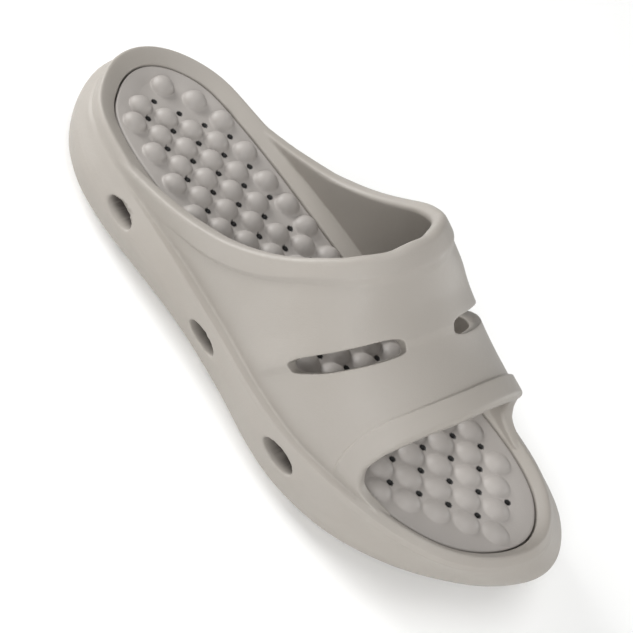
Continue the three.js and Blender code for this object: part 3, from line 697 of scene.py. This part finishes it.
tread = stacked("tread_pads", [
    tread_ring(PAD_BEVEL * 0.8, 0), tread_ring(PAD_BEVEL * 0.25, PAD_BEVEL * 0.3),
    tread_ring(0, PAD_BEVEL), tread_ring(0, PAD_HEIGHT + PAD_ROOT)])
groove_lines = [groove_line(corners) for corners in GROOVES]
tread_cutters = []
for line in groove_lines:
    ahead = np.gradient(line, axis=0)
    ahead /= np.linalg.norm(ahead, axis=1, keepdims=True)
    across = np.stack([ahead[:, 1], -ahead[:, 0]], 1)
    loops = []
    for widening, lift in ((2, -1), (0.5, 0.4), (0, PAD_BEVEL), (0, PAD_HEIGHT + PAD_ROOT + 1)):
        half = GROOVE_WIDTH / 2 + widening
        sides = np.concatenate([line + across * half, (line - across * half)[::-1]])
        loops.append(np.concatenate([sides, np.full((len(sides), 1), lift)], 1))
    tread_cutters.append(stacked("groove", loops))
tread_cutters.append(hollow("hollow"))
for cutter in tread_cutters:
    cut = tread.modifiers.new("cut", "BOOLEAN")
    cut.operation = "DIFFERENCE"
    cut.solver = "EXACT"
    cut.object = cutter
plain_mesh(tread)
drop(*tread_cutters)

# Sipes run along the net's edges and end short of its corners and of the pad's edge.
edge_ring = tread_edge(2 * math.pi * np.arange(360) / 360, 0)
hollow_ring = np.stack([
    hollow_middle[0] + HOLLOW_DEPTH * np.cos(2 * math.pi * np.arange(90) / 90),
    hollow_middle[1] + HOLLOW_LENGTH / 2 * np.sin(2 * math.pi * np.arange(90) / 90)], 1)


def inside(ring, flat):
    """Whether points lie inside a closed ring."""
    x, y = flat[:, 0][:, None], flat[:, 1][:, None]
    a, b = ring, np.roll(ring, -1, axis=0)
    spans = (a[:, 1] > y) != (b[:, 1] > y)
    rise = np.where(b[:, 1] == a[:, 1], 1e-9, b[:, 1] - a[:, 1])
    crossing = a[:, 0] + (b[:, 0] - a[:, 0]) * (y - a[:, 1]) / rise
    return (np.sum(spans & (x < crossing), axis=1) % 2) == 1


def nearest(points, flat):
    return np.min(np.linalg.norm(flat[:, None] - points[None], axis=2), axis=1)


def on_pad(flat):
    """Whether points lie on a pad, clear of its edges."""
    clear = inside(edge_ring, flat) & (nearest(edge_ring, flat) > SIPE_MARGIN)
    clear &= ~inside(hollow_ring, flat) & (nearest(hollow_ring, flat) > SIPE_MARGIN - 1)
    for line in groove_lines:
        dense = np.concatenate([line[:-1] * (1 - s) + line[1:] * s for s in np.linspace(0, 1, 6)])
        clear &= nearest(dense, flat) > GROOVE_WIDTH / 2 + SIPE_MARGIN
    return clear


sipe_points, sipe_edges = [], []
share_along = np.linspace(SIPE_GAP / SIPE_NET, 1 - SIPE_GAP / SIPE_NET, 9)
for row in range(-6, 7):
    for step in range(-14, 15):
        corner = np.array([row * SIPE_NET + (step % 2) * SIPE_NET / 2, step * SIPE_NET * math.sqrt(3) / 2])
        for turn in (0, 60, 120):
            way = np.array([math.cos(math.radians(turn)), math.sin(math.radians(turn))]) * SIPE_NET
            run = corner + way * share_along[:, None]
            good = np.flatnonzero(on_pad(run))
            if len(good) < 3:
                continue
            first, last = run[good[0]], run[good[-1]]
            sipe_edges.append((len(sipe_points), len(sipe_points) + 1))
            sipe_points += [(*first, 0), (*last, 0)]
sipe_mesh = bpy.data.meshes.new("sipe_lines")
sipe_mesh.from_pydata(
    ((np.array(sipe_points) + (*CENTRE_SHIFT, 0)) * MM).tolist(), sipe_edges, [])
sipe_lines = bpy.data.objects.new("sipe_lines", sipe_mesh)
bpy.context.scene.collection.objects.link(sipe_lines)

sipe_tree = bpy.data.node_groups.new("sipes", "GeometryNodeTree")
sipe_tree.interface.new_socket("Pads", in_out="INPUT", socket_type="NodeSocketGeometry")
sipe_tree.interface.new_socket("Sipe lines", in_out="INPUT", socket_type="NodeSocketObject")
sipe_tree.interface.new_socket("Sipe width", in_out="INPUT", socket_type="NodeSocketFloat")
sipe_tree.interface.new_socket("Sipe depth", in_out="INPUT", socket_type="NodeSocketFloat")
sipe_tree.interface.new_socket("Foam", in_out="INPUT", socket_type="NodeSocketMaterial")
sipe_tree.interface.new_socket("Pads", in_out="OUTPUT", socket_type="NodeSocketGeometry")
given = add(sipe_tree, "NodeGroupInput")
lines = add(sipe_tree, "GeometryNodeObjectInfo", {"Object": given.outputs["Sipe lines"]})
paths = add(sipe_tree, "GeometryNodeMeshToCurve", {"Mesh": lines.outputs["Geometry"]})
deep = add(sipe_tree, "ShaderNodeMath", {0: given.outputs["Sipe depth"]}, operation="MULTIPLY")
deep.inputs[1].default_value = 2
blade = add(sipe_tree, "GeometryNodeCurvePrimitiveQuadrilateral",
            {"Width": given.outputs["Sipe width"], "Height": deep.outputs[0]}, mode="RECTANGLE")
blades = add(sipe_tree, "GeometryNodeCurveToMesh",
             {"Curve": paths.outputs["Curve"], "Profile Curve": blade.outputs["Curve"]}, Fill_Caps=True)
cut_pads = add(sipe_tree, "GeometryNodeMeshBoolean",
               {"Mesh 1": given.outputs["Pads"], "Mesh 2": blades.outputs["Mesh"]}, operation="DIFFERENCE",
               solver="EXACT")
real = add(sipe_tree, "GeometryNodeRealizeInstances", {"Geometry": cut_pads.outputs["Mesh"]})
coat = add(sipe_tree, "GeometryNodeSetMaterial",
           {"Geometry": real.outputs["Geometry"], "Material": given.outputs["Foam"]})
add(sipe_tree, "NodeGroupOutput", {"Pads": coat.outputs["Geometry"]})


def set_inputs(modifier, **values):
    """Sets a node modifier's inputs by the identifiers of their sockets."""
    for item in modifier.node_group.interface.items_tree:
        if item.in_out == "INPUT" and item.name.replace(" ", "_") in values:
            modifier[item.identifier] = values[item.name.replace(" ", "_")]


sipes = tread.modifiers.new("sipes", "NODES")
sipes.node_group = sipe_tree
set_inputs(sipes, Sipe_lines=sipe_lines, Sipe_width=SIPE_WIDTH * MM, Sipe_depth=SIPE_DEPTH * MM, Foam=foam)
plain_mesh(tread)
drop(sipe_lines)
for vertex in tread.data.vertices:
    vertex.co.z += float(ground(sole_share(vertex.co.y / MM - CENTRE_SHIFT[1]))) * MM
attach(tread, "root")
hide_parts("upper_and_sole")

# Footbed: a loose plate of softer foam with massage domes in a turned square grid, and small drain
# holes between them, pierced after moulding. It lies in the moulding's seat with a narrow gap.
DOME_PITCH = 12.04
DOME_DIAMETER = 11.2
DOME_ROOM = 6.4
DOME_TURN = 41.5
DOME_START = (3.9, -92.3)
HOLE_PITCH = 12.08
HOLE_TURN = 41.15
HOLE_START = (4.1, -93.7)
HOLE_DIAMETER = 2.4
HOLE_DEPTH = 4
HOLE_ROOM = 9.5
EDGE_GAP = 0.65
EDGE_DROP = 0.7
EDGE_ROUND = 1.2
DISH_START = 8
EDGE_DOMES = [
    ("at", "depth"), (0.0055, 11.63), (0.0765, 11.32), (0.1415, 7.77), (0.213, 8.83), (0.279, 9.63),
    (0.332, 7.89), (0.381, 6.83),
]
BED_GREY = "#a29d99"
BED_GREY_WARM = "#9d9893"
DOME_FILLET = 0.35
RIM_CATCH = 0.32
ROWS = 600
COLUMNS = 141
edge_line = insole_line(2 * math.pi * np.arange(1200) / 1200)


def footbed_surface(turn, reach):
    """Grid over the footbed's top: reach runs from its inner edge (-1) to its outer (1)."""
    turn = np.where(reach < 0, 2 * math.pi - turn, turn)
    rim = set_out(insole_line, turn, np.full(turn.shape, -EDGE_GAP))
    opposite = set_out(insole_line, 2 * math.pi - turn, np.full(turn.shape, -EDGE_GAP))
    across = np.abs(reach)[..., None]
    flat = (rim + opposite) / 2 * (1 - across) + rim * across
    place = sole_share(flat[..., 1])
    to_edge = np.stack([nearest(edge_line, row) for row in flat]) - EDGE_GAP
    edge_round = EDGE_DROP * (1 - np.sqrt(1 - np.clip(1 - to_edge / EDGE_ROUND, 0, 1) ** 2))
    z = bed(place) - dish(place) * (1 - reach**2) * np.clip(to_edge / DISH_START, 0, 1) - edge_round
    return np.concatenate([flat, z[..., None]], -1)




def grid_places(start, pitch, turned, offset):
    """Corners or cell middles of a turned grid that lie on the footbed."""
    turn = math.radians(turned)
    found = []
    for i in range(-6, 20):
        for j in range(-6, 20):
            a, b = (i + offset) * pitch, (j + offset) * pitch
            found.append((start[0] + b * math.cos(turn) - a * math.sin(turn),
                          start[1] + b * math.sin(turn) + a * math.cos(turn)))
    found = np.array(found)
    return found[inside(edge_line, found)]


edge_at, edge_depth = column(EDGE_DOMES, "at"), column(EDGE_DOMES, "depth")
edge_row = set_out(insole_line, 2 * math.pi - np.arccos(1 - 2 * edge_at), -edge_depth)
domes = grid_places(DOME_START, DOME_PITCH, DOME_TURN, 0.5)
rim_distance = np.linalg.norm(domes[:, None] - edge_line[None], axis=2)
rim_nearest = edge_line[np.argmin(rim_distance, axis=1)]
room = np.min(rim_distance, axis=1)
row_end = edge_row[-1][1] + DOME_PITCH / 2
behind = (rim_nearest[:, 0] < 0) & (domes[:, 1] < row_end) & (room < edge_depth[0])
domes = domes[(room > DOME_ROOM) & (nearest(edge_row, domes) >= DOME_PITCH * 0.8) & ~behind]
domes = np.concatenate([edge_row, domes])
holes = grid_places(HOLE_START, HOLE_PITCH, HOLE_TURN, 0)
holes = holes[(nearest(edge_line, holes) > HOLE_ROOM)]
holes = holes[nearest(domes, holes) > DOME_DIAMETER / 2 + HOLE_DIAMETER / 2 - 0.6]


row_turns = np.linspace(0.004, math.pi - 0.004, ROWS)
reach = np.linspace(-1, 1, COLUMNS)
top = footbed_surface(*np.meshgrid(row_turns, reach, indexing="ij"))
corner = np.arange(ROWS * COLUMNS).reshape(ROWS, COLUMNS)
faces = np.stack([corner[:-1, :-1], corner[:-1, 1:], corner[1:, 1:], corner[1:, :-1]], -1)
faces = faces.reshape(-1, 4).tolist()
border = np.concatenate([
    corner[0, :-1], corner[:-1, -1], corner[-1, :0:-1], corner[:0:-1, 0]])
points = top.reshape(-1, 3)
under = points[border] - (0, 0, INSOLE_THICKNESS)
first = len(points)
size = len(border)
k = np.arange(size)
ahead = (k + 1) % size
faces += np.stack([border[k], first + k, first + ahead, border[ahead]], 1).tolist()
for row in range(ROWS - 1):
    outer = first + COLUMNS - 1 + row
    inner = first + (size - row) % size
    faces.append([outer, inner, first + size - row - 1, outer + 1])
faces.append([first + COLUMNS - 1 - i for i in range(COLUMNS)])
far = COLUMNS - 1 + ROWS - 1
faces.append([first + far + i for i in range(COLUMNS)][::-1])
footbed = mesh_object("footbed", np.concatenate([points, under]), faces)


def place_points(name, flat, height):
    """Loose points over the footbed that carry a height as their z."""
    return mesh_object(name, np.concatenate([flat, np.broadcast_to(height, len(flat))[:, None]], 1), [])


dome_places = place_points("dome_places", domes, dome_height(sole_share(domes[:, 1])))
hole_places = place_points("hole_places", holes, 0)

# Every point of the plate looks for its nearest dome and hole: it rises to the dome's round top, or
# sinks into the hole, whose rim is drawn round.
bed_tree = bpy.data.node_groups.new("massage_domes", "GeometryNodeTree")
for name, kind in (("Plate", "Geometry"), ("Dome places", "Object"), ("Hole places", "Object"),
                   ("Dome width", "Float"), ("Dome fillet", "Float"), ("Hole width", "Float"),
                   ("Hole depth", "Float"), ("Foam", "Material")):
    bed_tree.interface.new_socket(name, in_out="INPUT", socket_type="NodeSocket" + kind)
bed_tree.interface.new_socket("Footbed", in_out="OUTPUT", socket_type="NodeSocketGeometry")
given = add(bed_tree, "NodeGroupInput")


def bed_math(operation, *values):
    """Adds one sum of numbers or sockets to the footbed's tree and returns its result."""
    node = add(bed_tree, "ShaderNodeMath", operation=operation)
    for slot_number, value in enumerate(values):
        if isinstance(value, (int, float)):
            node.inputs[slot_number].default_value = value
        else:
            bed_tree.links.new(value, node.inputs[slot_number])
    return node.outputs[0]


def nearest_place(places, flat):
    """Position of the nearest of some places, and the flat distance and way to it."""
    info = add(bed_tree, "GeometryNodeObjectInfo", {"Object": given.outputs[places]})
    index = add(bed_tree, "GeometryNodeSampleNearest",
                {"Geometry": info.outputs["Geometry"], "Sample Position": flat}, domain="POINT")
    where = add(bed_tree, "GeometryNodeInputPosition")
    sample = add(bed_tree, "GeometryNodeSampleIndex",
                 {"Geometry": info.outputs["Geometry"], "Value": where.outputs["Position"],
                  "Index": index.outputs["Index"]}, data_type="FLOAT_VECTOR", domain="POINT")
    split = add(bed_tree, "ShaderNodeSeparateXYZ", {"Vector": sample.outputs["Value"]})
    foot = add(bed_tree, "ShaderNodeCombineXYZ", {"X": split.outputs["X"], "Y": split.outputs["Y"]})
    way = add(bed_tree, "ShaderNodeVectorMath", {0: flat, 1: foot.outputs["Vector"]}, operation="SUBTRACT")
    length = add(bed_tree, "ShaderNodeVectorMath", {0: way.outputs["Vector"]}, operation="LENGTH")
    return foot.outputs["Vector"], way.outputs["Vector"], length.outputs["Value"], split.outputs["Z"]


here = add(bed_tree, "GeometryNodeInputPosition")
axes = add(bed_tree, "ShaderNodeSeparateXYZ", {"Vector": here.outputs["Position"]})
flat = add(bed_tree, "ShaderNodeCombineXYZ", {"X": axes.outputs["X"], "Y": axes.outputs["Y"]})
flat = flat.outputs["Vector"]
dome_foot, dome_way, dome_reach, tall = nearest_place("Dome places", flat)
half_wide = bed_math("MULTIPLY", given.outputs["Dome width"], 0.5)
ball = bed_math("DIVIDE", bed_math("ADD", bed_math("POWER", half_wide, 2), bed_math("POWER", tall, 2)),
                bed_math("MULTIPLY", tall, 2))
inside_ball = bed_math("SUBTRACT", bed_math("POWER", ball, 2), bed_math("POWER", dome_reach, 2))
cap = bed_math("SUBTRACT", bed_math("SQRT", bed_math("MAXIMUM", inside_ball, 0)),
               bed_math("SUBTRACT", ball, tall))
rise = bed_math("SMOOTH_MAX", cap, 0, given.outputs["Dome fillet"])
hole_foot, hole_way, hole_reach, unused = nearest_place("Hole places", flat)
hole_half = bed_math("MULTIPLY", given.outputs["Hole width"], 0.5)
to_rim = bed_math("SUBTRACT", hole_reach, hole_half)
at_rim = bed_math("LESS_THAN", bed_math("ABSOLUTE", to_rim), RIM_CATCH * MM)
within = bed_math("LESS_THAN", to_rim, -RIM_CATCH * MM)
sink = bed_math("MULTIPLY", within, given.outputs["Hole depth"])
level = bed_math("SUBTRACT", rise, sink)
to_edge = add(bed_tree, "ShaderNodeVectorMath", {0: hole_way}, operation="NORMALIZE")
rim_move = add(bed_tree, "ShaderNodeVectorMath", {0: to_edge.outputs["Vector"]}, operation="SCALE")
bed_tree.links.new(bed_math("MULTIPLY", bed_math("MULTIPLY", to_rim, -1), at_rim), rim_move.inputs["Scale"])
lift = add(bed_tree, "ShaderNodeCombineXYZ", {"Z": level})
offset = add(bed_tree, "ShaderNodeVectorMath", {0: rim_move.outputs["Vector"], 1: lift.outputs["Vector"]},
             operation="ADD")
on_top = add(bed_tree, "GeometryNodeInputIndex")
is_top = add(bed_tree, "FunctionNodeCompare", {"A": on_top.outputs["Index"]}, data_type="INT",
             operation="LESS_THAN")
is_top.inputs[3].default_value = ROWS * COLUMNS
formed = add(bed_tree, "GeometryNodeSetPosition",
             {"Geometry": given.outputs["Plate"], "Selection": is_top.outputs["Result"],
              "Offset": offset.outputs["Vector"]})
# Points inside a hole and on its rim are marked for painted shade.
pierced = bed_math("LESS_THAN", to_rim, RIM_CATCH * MM)
marked = add(bed_tree, "GeometryNodeStoreNamedAttribute",
             {"Geometry": formed.outputs["Geometry"], "Selection": is_top.outputs["Result"],
              "Value": pierced},
             data_type="FLOAT", domain="POINT", Name="pierced")
real = add(bed_tree, "GeometryNodeRealizeInstances", {"Geometry": marked.outputs["Geometry"]})
coat = add(bed_tree, "GeometryNodeSetMaterial",
           {"Geometry": real.outputs["Geometry"], "Material": given.outputs["Foam"]})
add(bed_tree, "NodeGroupOutput", {"Footbed": coat.outputs["Geometry"]})

# The footbed's holes get painted shade: their walls and floors are coloured near black.
foam_bed = moulded_foam("footbed_eva_foam", BED_GREY, BED_GREY_WARM, "pierced", "#0f0e0d")
forming = footbed.modifiers.new("domes", "NODES")
forming.node_group = bed_tree
set_inputs(forming, Dome_places=dome_places, Hole_places=hole_places, Dome_width=DOME_DIAMETER * MM,
           Dome_fillet=DOME_FILLET * MM, Hole_width=HOLE_DIAMETER * MM,
           Hole_depth=HOLE_DEPTH * MM, Foam=foam_bed)
plain_mesh(footbed)
drop(dome_places, hole_places)
footbed.data.polygons.foreach_set("use_smooth", [True] * len(footbed.data.polygons))
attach(footbed, "root")
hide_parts("insole")

# Studio: a pale paper floor that runs out of sight, under six soft lights. The strongest stands behind
# the heel and the next on the outer side; those on the inner side and before the toe are low and weak.
floor_mesh = bpy.data.meshes.new("floor")
floor_mesh.from_pydata([(-6, -6, 0), (6, -6, 0), (6, 6, 0), (-6, 6, 0)], [], [(0, 1, 2, 3)])
floor = bpy.data.objects.new("floor", floor_mesh)
bpy.context.scene.collection.objects.link(floor)
paper = bpy.data.materials.new("matt_white_paper")
paper.use_nodes = True
paper.node_tree.nodes["Principled BSDF"].inputs["Base Color"].default_value = linear("#fdfdfc")
paper.node_tree.nodes["Principled BSDF"].inputs["Roughness"].default_value = 0.9
floor_mesh.materials.append(paper)

world = bpy.data.worlds.new("studio")
bpy.context.scene.world = world
world.use_nodes = True
world.node_tree.nodes["Background"].inputs["Color"].default_value = (1, 1, 1, 1)
world.node_tree.nodes["Background"].inputs["Strength"].default_value = 0.08


def softbox(name, place, power, size):
    """Square soft light that faces the sandal."""
    data = bpy.data.lights.new(name, "AREA")
    data.energy = power
    data.size = size
    lamp = bpy.data.objects.new(name, data)
    bpy.context.scene.collection.objects.link(lamp)
    lamp.location = place
    lamp.rotation_mode = "QUATERNION"
    lamp.rotation_quaternion = (Vector(place) - Vector((0, 0, 0.03))).to_track_quat("Z", "Y")


softbox("heel", (0.2, -1.2, 0.5), 16.5, 0.6)
softbox("side", (1.0, 0.7, 0.7), 13, 1.0)
softbox("top", (0, 0, 1.4), 7.5, 1.0)
softbox("inner", (-1.2, 0.5, 0.3), 5, 0.5)
softbox("camera", (1.0, 0.3, 1.0), 2.5, 0.5)
softbox("toe", (-0.3, 1.3, 0.3), 1.5, 0.5)
bpy.context.scene.view_settings.view_transform = "Standard"
